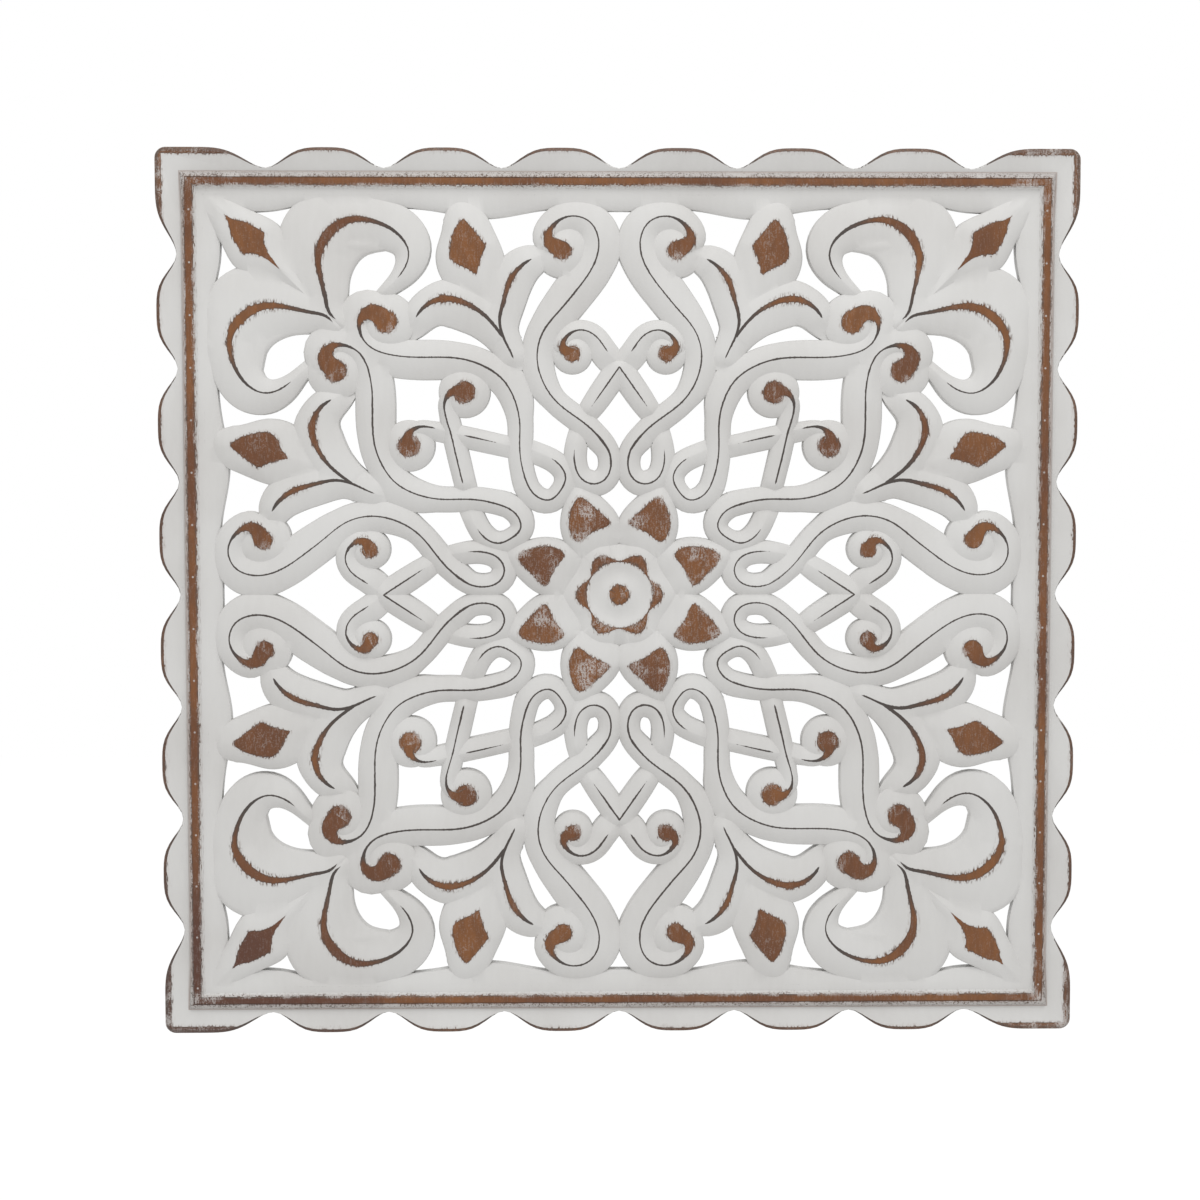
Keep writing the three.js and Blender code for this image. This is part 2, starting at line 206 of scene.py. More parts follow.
SMALL_SCROLL = [
    (-1.4, 53.8, 2.4, 2.8, LINE, 0.3), (0.8, 56.5, 2.6, 4.2, LINE, 0.5),
    (3.3, 59.8, 2.6, 4.3, LINE, 1), (5.5, 62.7, 2.6, 3.8, LINE, 1), (8.8, 64.2, 2.5, 3.4, LINE, 1),
    (12.0, 62.9, 3.0, 2.8, 0.4, 1), (13.2, 60.4, 2.8, 2.4, 0.9, 1), (11.3, 58.6, 2.2, 2.2, 1.8, 1),
]
DIAGONAL_SCROLL = [
    (54.4, 66.0, 4.2, 3.0, 2.6, 1), (58.0, 68.3, 5.8, 3.2, 1.9, 1), (60.2, 66.8, 6.4, 3.4, 0.9, 1),
    (60.5, 64.3, 5.6, 3.2, 0.4, 1), (59.0, 61.0, 5.0, 3.6, LINE, 1),
    (52.8, 58.1, 5.3, 4.2, LINE, 1), (44.0, 57.6, 5.5, 4.3, LINE, 1),
    (36.7, 57.2, 5.2, 3.9, LINE, 1), (31.5, 55.4, 4.3, 3.9, LINE, 1),
    (27.1, 52.1, 3.9, 5.2, LINE, 1), (24.6, 47.7, 3.6, 4.8, LINE, 1),
    (23.3, 41.8, 3.1, 3.3, LINE, 1), (23.3, 35.9, 3.0, 3.2, LINE, 1),
    (22.7, 30.8, 3.2, 2.8, LINE, 1), (21.3, 26.4, 3.7, 2.6, LINE, 1),
]
DIAGONAL_LOOP = [
    *DIAGONAL_SCROLL[-2:], (19.1, 23.8, 3.6, 2.7, LINE, 1), (16.5, 23.1, 3.3, 2.6, LINE, 1),
    (13.6, 25.7, 3.2, 2.5, LINE, 1), (12.6, 28.6, 3.0, 2.9, LINE, 1),
    (13.9, 31.5, 2.6, 3.1, LINE, 1), (18.7, 34.5, 2.4, 3.2, LINE, 0.7),
    (21.6, 35.6, 2.4, 2.8, LINE, 0.1),
]
FLAT_BAR = [
    (24.2, 35.9, 2.4, 3.0, LINE, 0.1), (27.5, 36.7, 2.3, 3.1, LINE, 0.9),
    (35.2, 38.5, 2.3, 3.2, LINE, 1), (39.6, 39.5, 2.3, 3.0, LINE, 0.5),
    (44.0, 40.7, 1.6, 3.2, LINE, 1), (47.4, 40.6, 1.6, 3.4, 0.4, 1), (49.4, 38.4, 2.0, 3.0, 1.2, 1),
    (49.2, 36.6, 2.4, 2.6, 2.0, 1),
]
UPRIGHT_LEAF = [
    (23.8, 54.2, 3.6, 4.0, LINE, 0.2), (24.9, 57.8, 3.6, 4.0, LINE, 1),
    (27.4, 63.4, 4.2, 4.2, 0.3, 1), (27.9, 66.6, 5.1, 5.0, 0.35, 1), (27.0, 71.0, 5.3, 5.0, 0.5, 1),
    (25.3, 76.3, 5.6, 5.0, 0.68, 1), (21.3, 80.7, 4.6, 4.3, 0.3, 1),
    (17.5, 82.4, 3.4, 2.6, LINE, 0.4),
]
LEANING_LEAF = [
    (25.6, 60.4, 3.6, 4.4, LINE, 0.3), (27.2, 62.6, 4.0, 4.6, 0.3, 1),
    (31.3, 67.6, 5.2, 6.1, 0.4, 1), (35.2, 70.3, 5.3, 6.8, 0.6, 1), (40.3, 71.7, 4.8, 6.9, 0.85, 1),
    (44.0, 70.7, 4.0, 6.2, 0.6, 1), (46.8, 68.1, 3.6, 5.1, 0.3, 1),
    (48.4, 65.4, 3.2, 3.8, LINE, 0.5), (50.8, 62.6, 2.2, 2.6, LINE, -0.3),
]
CORNER_LEAF = [
    (62.0, 62.8, 2.4, 2.4, LINE, -0.3), (65.0, 65.9, 3.2, 3.2, LINE, 0.8),
    (67.4, 68.2, 4.2, 4.0, 0.3, 1), (68.3, 71.4, 5.1, 5.9, 0.4, 1), (69.4, 76.5, 6.6, 7.6, 0.55, 1),
    (69.9, 82.1, 8.5, 10.5, 0.9, 1), (67.4, 87.4, 9.3, 11.3, 1.2, 1),
    (62.6, 90.5, 8.3, 6.5, 0.85, 1), (56.5, 90.0, 6.9, 6.0, 0.5, 1), (51.3, 87.0, 5.2, 6.5, 0.3, 1),
    (49.0, 82.9, 3.8, 5.4, LINE, 1), (50.2, 78.5, 2.6, 3.8, LINE, 1),
    (53.8, 74.4, 1.7, 2.3, LINE, 0.7), (57.4, 70.6, 1.4, 1.6, LINE, -0.3),
]

# Round buttons at the ends of the scrolls: across, up, foot radius, radius of the worn crown
BUTTONS = [
    (13.4, 83.3, 6.6, 2.3), (11.0, 58.5, 5.0, 2.0), (54.4, 66.2, 7.1, 2.8), (49.2, 36.2, 6.3, 2.7),
]

# Buds and petals: the foot and the flat worn crown on top of it
BUD = (
    [(34.2, 95.0), (29.4, 88.6), (26.8, 82.0), (26.8, 75.0), (30.0, 68.0), (36.4, 71.4),
     (41.4, 76.4), (42.8, 82.4), (41.4, 88.0), (38.6, 95.0)],
    [(36.3, 90.8), (35.2, 89.8), (33.0, 87.2), (31.6, 85.3), (31.0, 84.3), (31.6, 82.8),
     (32.4, 80.6), (33.0, 78.2), (33.2, 77.4), (34.2, 78.0), (36.6, 79.3), (38.4, 80.3),
     (39.3, 81.3), (39.4, 84.4), (38.4, 88.0), (37.3, 89.9)],
)
CORNER_BUD = (
    [(97.0, 97.0), (91.0, 95.8), (85.2, 92.7), (79.6, 89.7), (75.8, 81.2), (69.0, 69.0),
     (81.2, 75.8), (89.7, 79.6), (92.7, 85.2), (95.8, 91.0)],
    [(93.2, 93.2), (90.8, 91.1), (88.2, 90.4), (85.6, 89.4), (83.6, 88.3), (82.4, 87.4),
     (82.4, 85.8), (82.0, 83.8), (81.2, 82.0), (80.2, 80.7), (78.0, 78.0), (80.7, 80.2),
     (82.0, 81.2), (83.8, 82.0), (85.8, 82.4), (87.4, 82.4), (88.3, 83.6), (89.4, 85.6),
     (90.4, 88.2), (91.1, 90.8)],
)
PETAL = (
    [(0.4, 19.4), (4.2, 23.8), (9.6, 27.0), (13.2, 21.6), (13.9, 16.4), (12.0, 11.0), (9.0, 8.4),
     (3.6, 10.4), (-0.6, 13.2)],
    [(9.6, 23.7), (5.5, 21.0), (2.2, 17.3), (6.3, 15.2), (9.9, 12.9), (11.9, 16.6), (11.6, 19.7)],
)

# Full inner side of the corner leaf, where its bend is too tight for a band
BELLY = (
    [(63.7, 70.6), (63.2, 73.4), (62.9, 76.4), (61.9, 79.2), (60.2, 81.5), (57.6, 82.9),
     (54.8, 83.2), (51.8, 84.6), (55.0, 87.0), (61.0, 88.4), (66.0, 89.5), (71.5, 87.5),
     (72.8, 84.0), (71.5, 79.0), (68.0, 74.0)],
    [(69.8, 84.8), (69.0, 85.6), (68.2, 84.8), (69.0, 84.0)],
)

# Wavy inner edge of the frame's lip along half a side, and where it turns the corner
LIP_EDGE = [
    (91, 92.5), (85, 92.6), (80, 93.0), (76, 93.8), (60, 94.0), (43, 92.9), (31, 91.1), (17, 93.2),
    (4, 92.9), (0, 92.9),
]
LIP_CORNER = 92.5

# Flower: lobes of its rim, half width of its worn crown and how far that swells in the lobes,
# and rings from the foot inwards as (radius, swell of the lobes, height above the back, distance
# outside the worn crown)
FLOWER_LOBES = 6
FLOWER_CROWN = 1.4
FLOWER_CROWN_SWELL = 0.9
FLOWER_RINGS = [
    (13.5, 0.05, 0, 3.2), (13.5, 0.05, EDGE - 1 * MM, 3.2), (12.9, 0.07, EDGE + 1 * MM, 3.0),
    (9.5, 0.13, RIDGE - 0.5 * MM, 0), (8.9, 0.07, RIDGE - 0.4 * MM, -0.7),
    (8.0, 0, RIDGE - 0.6 * MM, 0), (6.6, 0, EDGE + 2.6 * MM, 1.6), (5.6, 0, EDGE + 2.0 * MM, 2.4),
    (4.4, 0, EDGE + 2.4 * MM, 1.9), (3.7, 0, CROWN - 2.0 * MM, 1.2), (2.5, 0, CROWN - 0.8 * MM, 0),
    (1.2, 0, CROWN - 0.6 * MM, -1.3),
]

# Wear kept on the corners of every face: distance outside the worn crown, half width of that
# crown, and share of it that still holds paint
WEAR = ("from_crown", "crown_width", "paint_left")

# Half of a band's cross section, from the worn crown to its edge: share of the way out, and
# height between the edge, 0, and the ridge, 1
FLANK = [(0, 1), (0.5, 0.6), (0.86, 0.28), (0.96, 0.12), (1, -0.1)]

# Rings across a flat crown, as shares of its size
CROWN_RINGS = (0.6, 0.2)


def placed(u, v):
    """Place on the lying board of a point of the drawing."""
    return u * FIELD_X / 100, v * FIELD_Y / 100


def across(share):
    """Size on the board of a width in the drawing."""
    return share * FIELD / 100


def swapped(points):
    """A stroke mirrored over the diagonal, so that its left and right change places."""
    return [(v, u, right, left, crown, rise) for u, v, left, right, crown, rise in points]


def swapped_points(points):
    return [(v, u, *rest) for u, v, *rest in points]


def even_slopes(points, spans):
    """Slopes at the stations of the smoothest curve through them."""
    count = len(points)
    rule, pull = np.zeros((count, count)), np.zeros_like(points)
    rule[0, :2] = rule[-1, -2:] = (2, 1)
    rule[-1, -2:] = (1, 2)
    pull[0] = 3 * (points[1] - points[0]) / spans[0]
    pull[-1] = 3 * (points[-1] - points[-2]) / spans[-1]
    for i in range(1, count - 1):
        near, far = spans[i - 1], spans[i]
        rule[i, i - 1:i + 2] = (1 / near, 2 / near + 2 / far, 1 / far)
        pull[i] = 3 * ((points[i] - points[i - 1]) / near**2 + (points[i + 1] - points[i]) / far**2)
    return np.linalg.solve(rule, pull)


def easy_slopes(values, spans):
    """Slopes that keep the widths between stations from overshooting."""
    steps = np.diff(values, axis=0) / spans[:, None]
    slopes = np.zeros_like(values)
    near, far = steps[:-1], steps[1:]
    same_way = near * far > 0
    slopes[1:-1][same_way] = (2 * near * far)[same_way] / (near + far)[same_way]
    return slopes


def smooth_course(points):
    """Points and widths along a smooth line through the given stations, a step apart."""
    rows = np.array([(*placed(u, v), *map(across, widths), rise) for u, v, *widths, rise in points])
    spans = np.linalg.norm(np.diff(rows[:, :2], axis=0), axis=1)
    slopes = np.hstack([even_slopes(rows[:, :2], spans), easy_slopes(rows[:, 2:], spans)])
    course = []
    for i, span in enumerate(spans):
        count = max(2, math.ceil(span / STEP))
        for t in np.arange(count) / count:
            course.append(
                (2 * t**3 - 3 * t**2 + 1) * rows[i] + (t**3 - 2 * t**2 + t) * span * slopes[i]
                + (3 * t**2 - 2 * t**3) * rows[i + 1] + (t**3 - t**2) * span * slopes[i + 1]
            )
    return np.array([*course, rows[-1]])


def eased(values, rounds):
    """Values along a line, each averaged with its neighbours a number of times."""
    for _ in range(rounds):
        values = np.convolve(np.pad(values, 1, "edge"), np.ones(3) / 3, "valid")
    return values


def smooth_line(points):
    """Points alone of a smooth line through the given ones."""
    return smooth_course([(u, v, 0, 0, 0, 0) for u, v in points])[:, :2]


def kept_clear_of_centre(course):
    """Narrows the inner side of each bend so that it can't fold over itself."""
    step = np.gradient(course[:, :2], axis=0)
    heading = eased(np.unwrap(np.arctan2(step[:, 1], step[:, 0])), EASING)
    bend = np.gradient(heading) / np.linalg.norm(step, axis=1)
    straight = 1e-3
    for side, column in ((1, 2), (-1, 3)):
        room = BEND_ROOM / np.maximum(bend * side, straight)
        kept = np.minimum(course[:, column], room)
        course[1:-1, column] = np.minimum(eased(kept, WIDTH_EASING), kept)[1:-1]
    return course


def mesh_object(name, points, faces=(), edges=()):
    mesh = bpy.data.meshes.new(name)
    mesh.from_pydata([tuple(p) for p in points], list(edges), list(faces))
    made = bpy.data.objects.new(name, mesh)
    bpy.context.scene.collection.objects.link(made)
    return made


def set_values(made, name, values, domain="POINT"):
    attribute = made.data.attributes.new(name, "FLOAT", domain)
    attribute.data.foreach_set("value", np.asarray(values, np.float32))


def spine_object(name, points):
    """Line that a band follows, with its widths, crown and rise kept on its points."""
    course = kept_clear_of_centre(smooth_course(points))
    count = len(course)
    spine = mesh_object(
        name, [(x, y, 0) for x, y in course[:, :2]], edges=[(i, i + 1) for i in range(count - 1)]
    )
    for column, label in enumerate(("left", "right", "crown", "rise"), start=2):
        set_values(spine, label, course[:, column])
    return spine


def section_object():
    """Closed cross section of a band, kept in shares that the band's tree turns into sizes. Its
    own points only have to lie apart."""
    half = [(1, share, lift, 1) for share, lift in FLANK] + [(1, 1, 0, 0)]
    other = [(-flat, -share, lift, front) for flat, share, lift, front in reversed(half)]
    rows = [*other, (0, 0, 1, 1), *half]
    count = len(rows)
    section = mesh_object(
        "band_section", [(i / count, math.sin(i), 0) for i in range(count)],
        edges=[(i, (i + 1) % count) for i in range(count)],
    )
    for column, label in enumerate(("flat", "share", "lift", "front")):
        set_values(section, label, [row[column] for row in rows])
    return section


class Tree:
    """A geometry or shader tree, with short ways to add and join nodes."""

    def __init__(self, name, kind, inputs=(), outputs=()):
        self.tree = bpy.data.node_groups.new(name, kind)
        self.ids = {}
        for label, socket, *value in inputs:
            made = self.tree.interface.new_socket(label, in_out="INPUT", socket_type=socket)
            self.ids[label] = made.identifier
            if value:
                made.default_value = value[0]
        for label, socket in outputs:
            self.tree.interface.new_socket(label, in_out="OUTPUT", socket_type=socket)
        self.given = self.tree.nodes.new("NodeGroupInput").outputs
        self.wanted = self.tree.nodes.new("NodeGroupOutput").inputs

    def add(self, kind, settings=None, **inputs):
        return add_node(self.tree, kind, settings, **inputs)

    def math(self, operation, a, b=0.0):
        return calculated(self.tree, operation, a, b)

    def vector(self, operation, *values, **inputs):
        node = self.add("ShaderNodeVectorMath", {"operation": operation}, **inputs)
        for socket, value in zip(node.inputs, values):
            fill(self.tree, socket, value)
        return node.outputs[0]

    def attribute(self, name):
        node = self.add("GeometryNodeInputNamedAttribute", {"data_type": "FLOAT"}, Name=name)
        return node.outputs["Attribute"]

    def end(self, label, value):
        self.tree.links.new(value, self.wanted[label])


def fill(tree, socket, value):
    if isinstance(value, bpy.types.NodeSocket):
        tree.links.new(value, socket)
    else:
        socket.default_value = value


def add_node(tree, kind, settings=None, **inputs):
    node = tree.nodes.new(kind)
    for key, value in (settings or {}).items():
        setattr(node, key, value)
    for label, value in inputs.items():
        fill(tree, node.inputs[label.replace("_", " ")], value)
    return node


def calculated(tree, operation, a, b=0.0):
    """Result of a sum on two values, in either kind of tree."""
    node = add_node(tree, "ShaderNodeMath", {"operation": operation})
    for socket, value in zip(node.inputs, (a, b)):
        fill(tree, socket, value)
    return node.outputs[0]


def vector_value(sockets):
    """The Value socket for vectors, among those that a node has for every kind of value."""
    return next(s for s in sockets if s.name == "Value" and s.type == "VECTOR")


def carved_band_tree():
    """Carries the section along a spine: flanks fall from the worn crown to the band's edges."""
    t = Tree(
        "Carved band", "GeometryNodeTree",
        [("Geometry", "NodeSocketGeometry"), ("Section", "NodeSocketObject"),
         ("Edge height", "NodeSocketFloat", EDGE), ("Ridge height", "NodeSocketFloat", RIDGE),
         ("Easing", "NodeSocketInt", EASING), ("Sunk part stays white", "NodeSocketFloat", 6 * MM),
         ("Paint left", "NodeSocketFloat", PAINT_LEFT["band"]), ("Finish", "NodeSocketMaterial")],
        [("Geometry", "NodeSocketGeometry")],
    )
    line = t.add("GeometryNodeMeshToCurve", Mesh=t.given["Geometry"]).outputs["Curve"]
    tangent = t.add("GeometryNodeInputTangent").outputs["Tangent"]
    upward = t.add("ShaderNodeCombineXYZ", Z=1.0).outputs[0]
    even = t.add("GeometryNodeBlurAttribute", {"data_type": "FLOAT_VECTOR"},
                 Iterations=t.given["Easing"])
    fill(t.tree, vector_value(even.inputs), t.vector("CROSS_PRODUCT", upward, tangent))
    leftward = t.vector("NORMALIZE", vector_value(even.outputs))
    position = t.add("GeometryNodeInputPosition").outputs[0]
    kept = t.add("GeometryNodeCaptureAttribute", {"domain": "POINT"}, Geometry=line)
    for label, value in (("Middle", position), ("Leftward", leftward)):
        kept.capture_items.new("VECTOR", label)
        t.tree.links.new(value, kept.inputs[label])

    section = t.add("GeometryNodeObjectInfo", Object=t.given["Section"]).outputs["Geometry"]
    outline = t.add("GeometryNodeMeshToCurve", Mesh=section).outputs["Curve"]
    swept = t.add("GeometryNodeCurveToMesh", Curve=kept.outputs["Geometry"], Profile_Curve=outline,
                  Fill_Caps=True).outputs["Mesh"]

    share = t.attribute("share")
    crown = t.attribute("crown")
    to_left = t.math("GREATER_THAN", share, 0.0)
    width = t.math("ADD", t.math("MULTIPLY", to_left, t.attribute("left")),
                   t.math("MULTIPLY", t.math("SUBTRACT", 1.0, to_left), t.attribute("right")))
    flank = t.math("SUBTRACT", width, crown)
    side = t.math("ADD", t.math("MULTIPLY", t.attribute("flat"), crown),
                  t.math("MULTIPLY", share, flank))
    climb = t.math("MULTIPLY", t.attribute("rise"),
                   t.math("SUBTRACT", t.given["Ridge height"], t.given["Edge height"]))
    height = t.math("MULTIPLY", t.attribute("front"),
                    t.math("ADD", t.given["Edge height"],
                           t.math("MULTIPLY", climb, t.attribute("lift"))))
    aside = t.vector("ADD", kept.outputs["Middle"],
                     t.vector("SCALE", kept.outputs["Leftward"], Scale=side))
    raised = t.vector("ADD", aside, t.add("ShaderNodeCombineXYZ", Z=height).outputs[0])
    shaped = t.add("GeometryNodeSetPosition", Geometry=swept, Position=raised)

    beside = t.math("MULTIPLY", t.math("ABSOLUTE", share), flank)
    within = t.math("MULTIPLY", crown,
                    t.math("SUBTRACT", 1.0, t.math("ABSOLUTE", t.attribute("flat"))))
    sunk = t.math("MULTIPLY", t.math("SUBTRACT", 1.0, t.attribute("rise")),
                  t.given["Sunk part stays white"])
    distance = t.math("ADD", t.math("SUBTRACT", beside, within), sunk)
    solid = shaped.outputs[0]
    for name, value in zip(WEAR, (distance, crown, t.given["Paint left"])):
        solid = t.add("GeometryNodeStoreNamedAttribute", {"data_type": "FLOAT", "domain": "CORNER"},
                      Geometry=solid, Name=name, Value=value).outputs["Geometry"]
    real = t.add("GeometryNodeRealizeInstances", Geometry=solid).outputs[0]
    painted = t.add("GeometryNodeSetMaterial", Geometry=real, Material=t.given["Finish"])
    t.end("Geometry", painted.outputs["Geometry"])
    return t


def finish_modifiers(made):
    """Makes what an object's modifiers give its plain mesh, and removes them."""
    bpy.context.view_layer.update()
    graph = bpy.context.evaluated_depsgraph_get()
    mesh = bpy.data.meshes.new_from_object(
        made.evaluated_get(graph), preserve_all_data_layers=True, depsgraph=graph
    )
    made.modifiers.clear()
    made.data = mesh
    return made


def add_tree(made, tree, **values):
    modifier = made.modifiers.new(tree.tree.name, "NODES")
    modifier.node_group = tree.tree
    for label, value in values.items():
        modifier[tree.ids[label.replace("_", " ")]] = value
    return made


def carved_band(name, points, tree, section, finish):
    band = add_tree(spine_object(name, points), tree, Section=section, Finish=finish)
    return facing_out(finish_modifiers(band))


def facing_out(made):
    """Turns a closed mesh right side out if its volume comes out negative."""
    mesh = made.data
    mesh.calc_loop_triangles()
    corners = np.array([t.vertices[:] for t in mesh.loop_triangles])
    points = np.array([v.co[:] for v in mesh.vertices])
    a, b, c = (points[corners[:, i]] for i in range(3))
    if np.einsum("ij,ij->", a, np.cross(b, c)) < 0:
        mesh.flip_normals()
    return made


def lofted(name, rings, wear, closed=False):
    """Closed mesh over rings of points; wear holds the three values of each point of each ring."""
    count = len(rings[0])
    points = [p for ring in rings for p in ring]
    faces = []
    spans = len(rings) if closed else len(rings) - 1
    for i in range(spans):
        a, b = i * count, (i + 1) % len(rings) * count
        faces += [(a + j, a + (j + 1) % count, b + (j + 1) % count, b + j) for j in range(count)]
    if not closed:
        faces.append(tuple(range(count - 1, -1, -1)))
        faces.append(tuple(range((len(rings) - 1) * count, len(rings) * count)))
    made = mesh_object(name, points, faces)
    corners = [loop.vertex_index for loop in made.data.loops]
    for label, values in zip(WEAR, np.asarray(wear, float).reshape(-1, len(WEAR)).T):
        set_values(made, label, values[corners], "CORNER")
    return facing_out(made)


def reach_by_angle(outline, middle, count):
    """How far a closed smooth outline reaches from the middle, at evenly spaced angles."""
    course = smooth_line([*outline[-2:], *outline, *outline[:2]]) - middle
    angle = np.arctan2(course[:, 1], course[:, 0])
    reach = np.linalg.norm(course, axis=1)
    order = np.argsort(angle)
    wanted = np.linspace(-math.pi, math.pi, count, endpoint=False)
    return np.interp(wanted, angle[order], reach[order], period=2 * math.pi)


def raised_form(name, middle, foot, crown, top, paint_left):
    """Bud, petal or button: flanks fall from a flat crown to the foot, as on the bands."""
    angles = np.linspace(-math.pi, math.pi, len(foot), endpoint=False)
    around = np.stack([np.cos(angles), np.sin(angles)], axis=1)
    rings, wear = [], []

    def add_ring(reach, height, distance):
        xy = middle + around * reach[:, None]
        rings.append([(x, y, height) for x, y in xy])
        wear.append([(d, c, paint_left) for d, c in zip(distance, crown)])

    add_ring(foot, 0, foot - crown)
    for share, lift in reversed(FLANK):
        reach = crown + (foot - crown) * share
        add_ring(reach, EDGE + (top - EDGE) * lift, reach - crown)
    for share in CROWN_RINGS:
        add_ring(crown * share, top, -crown * (1 - share))
    return lofted(name, rings, wear)


def button(name, spot):
    u, v, foot, crown = spot
    even = np.ones(BUTTON_SIDES)
    return raised_form(name, np.array(placed(u, v)), even * across(foot), even * across(crown),
                       BUTTON_TOP, PAINT_LEFT["button"])


def bloom(name, form, top, paint_left):
    outline, crown = form
    middle = np.mean([placed(u, v) for u, v in crown], axis=0)
    foot = reach_by_angle(outline, middle, BLOOM_SIDES)
    reach = np.minimum(reach_by_angle(crown, middle, BLOOM_SIDES), foot)
    return raised_form(name, middle, foot, reach, top, paint_left)


def swapped_form(form):
    return tuple(swapped_points(points) for points in form)


def quarter_parts(finish):
    """Every band, button, bud and petal of the quarter at the top right, each a closed mesh."""
    tree, section = carved_band_tree(), section_object()
    courses = {
        "tall_scroll": TALL_SCROLL, "tall_loop": TALL_LOOP, "pointed_bar": POINTED_BAR,
        "small_scroll": SMALL_SCROLL, "diagonal_scroll": DIAGONAL_SCROLL,
        "diagonal_loop": DIAGONAL_LOOP, "upright_leaf": UPRIGHT_LEAF,
        "leaning_leaf": LEANING_LEAF, "corner_leaf": CORNER_LEAF,
    }
    parts = []
    for name, points in courses.items():
        parts.append(carved_band(name, points, tree, section, finish))
        parts.append(carved_band(name + "_swapped", swapped(points), tree, section, finish))
    # Where the two bars cross, the steep one stays at its full height and the flat one dips
    first, *others = swapped(FLAT_BAR)
    steep = [first, *((*row[:-1], max(row[-1], 1)) for row in others)]
    parts.append(carved_band("flat_bar", FLAT_BAR, tree, section, finish))
    parts.append(carved_band("steep_bar", steep, tree, section, finish))
    for i, spot in enumerate(BUTTONS):
        parts.append(button(f"button_{i}", spot))
        parts.append(button(f"button_{i}_swapped", *swapped_points([spot])))
    blooms = [("bud", BUD, CROWN), ("petal", PETAL, CROWN), ("belly", BELLY, BELLY_TOP)]
    for name, form, top in blooms:
        parts.append(bloom(name, form, top, PAINT_LEFT[name]))
        parts.append(bloom(name + "_swapped", swapped_form(form), top, PAINT_LEFT[name]))
    parts.append(bloom("corner_bud", CORNER_BUD, CROWN, PAINT_LEFT["corner_bud"]))
    bpy.data.objects.remove(section)
    return parts


def flower():
    """Small flower in the middle: a lobed worn rim round a dish with a button in it."""
    angles = np.arange(FLOWER_SIDES) * 2 * math.pi / FLOWER_SIDES
    lobes = np.cos(FLOWER_LOBES * angles)
    rings, wear = [], []
    for radius, swell, height, distance in FLOWER_RINGS:
        reach = across(radius) * (1 + swell * lobes)
        rings.append([(r * math.cos(a), r * math.sin(a), height) for r, a in zip(reach, angles)])
        wear.append([(across(distance), across(FLOWER_CROWN + FLOWER_CROWN_SWELL * lobe),
                      PAINT_LEFT["flower"]) for lobe in lobes])
    return lofted("flower", rings, wear)


def growing(value, start, end):
    """0 up to the start, 1 from the end, and evenly between them."""
    return min(max((value - start) / (end - start), 0), 1)


def rim_height(out):
    """Height of the rim's sloping face above the back, at a distance out from the bead."""
    low = BOARD - BORDER_DEPTH + BORDER_RISE
    return low + (RIM_TOP - low) * growing(out, BEAD_WIDTH / 2 + BORDER_WIDTH, RIM_WEAR_LINE)


def frame_section(lip_edge, upright, corner, mitre):
    """Points of the frame's section, as distance out from the bead, height and the three values
    of wear. The outer side of the bead is scratched on the flat sides. On the upright ones it is
    thinly painted: a brownish coat that is also painted shade of the cove, darker towards the
    crown. Corner and mitre are 1 where the rim and the bead are rubbed hardest."""
    half, crown = BEAD_WIDTH / 2, BEAD_CROWN / 2
    top = BOARD - BEAD_DROP
    border = BOARD - BORDER_DEPTH
    lip = BOARD - LIP_DEPTH
    inner = across(100 - lip_edge)
    line = RIM_WEAR_LINE - CORNER_WEAR * corner
    scratched = 0.4 + 0.3 * corner
    wide, medium, thin = 3 * MM, 1.6 * MM, 0.5 * MM
    if upright:
        # The outer flank keeps its paint under a thin brownish coat, partly painted shade of the
        # cove
        flank = [(2.4 * MM, 0.8), (1.6 * MM, 0.8), (0.7 * MM, 0.8), (-0.4 * MM, 0.6)]
        groove = (1.8 * MM, top - 0.35 * MM, -0.8 * MM, wide, 0.1)
    else:
        flank = [(0.6 * MM, 0.92), (-0.4 * MM, 0.92), (-0.8 * MM, 0.9), (-1 * MM, 0.75)]
        # Thin dark line in the small groove on the flat sides: painted shade of the groove, in the
        # colour of the worn lines
        groove = (1.8 * MM, top - 0.75 * MM, -1 * MM, thin, 0.1)
    places = [(half + 0.9 * MM, border), (half, border + 0.4 * MM),
              (crown + 0.7 * MM, top - 1.4 * MM), (2.2 * MM, top - 0.5 * MM)]
    return [
        # Rim and border
        (RIM + 1 * MM, 0, FAR, medium, 0), (RIM + 1 * MM, BOARD, line - RIM, medium, scratched),
        (RIM_WEAR_LINE, RIM_TOP, line - RIM_WEAR_LINE, medium, scratched),
        (half + BORDER_WIDTH, border + BORDER_RISE, FAR, wide, 0),
        # Bead, from its outer flank to its foot on the lip
        *((out, height, worn, wide, left) for (out, height), (worn, left) in zip(places, flank)),
        groove, (1.4 * MM, top - 0.2 * MM, -1.2 * MM, wide, 0.1 + 0.6 * mitre),
        (-1 * MM, top, -2 * MM, wide, 0.6 * mitre),
        (-2.4 * MM, top - 0.1 * MM, -0.7 * MM, wide, 0.5),
        (-crown, top - 0.4 * MM, 0.1 * MM, wide, 0.6),
        (-crown - 0.7 * MM, top - 1.4 * MM, 0.8 * MM, wide, 0.6),
        (-half, lip - 0.4 * MM, 2 * MM, wide, 0),
        # Lip, with the faint dark dashes along it
        (-half - 0.8 * MM, lip - 0.5 * MM, 3 * MM, wide, 0),
        (-half - 3.4 * MM, lip - 0.75 * MM, 2 * MM, thin, 0),
        (-half - 3.8 * MM, lip - 0.8 * MM, 0.21 * MM, thin, 0),
        (-half - 4.2 * MM, lip - 0.85 * MM, 2 * MM, thin, 0),
        (-inner + 3 * MM, EDGE + 0.9 * MM, FAR, thin, 0), (-inner, EDGE - 0.8 * MM, FAR, thin, 0),
        (-inner, 0, FAR, thin, 0),
    ]


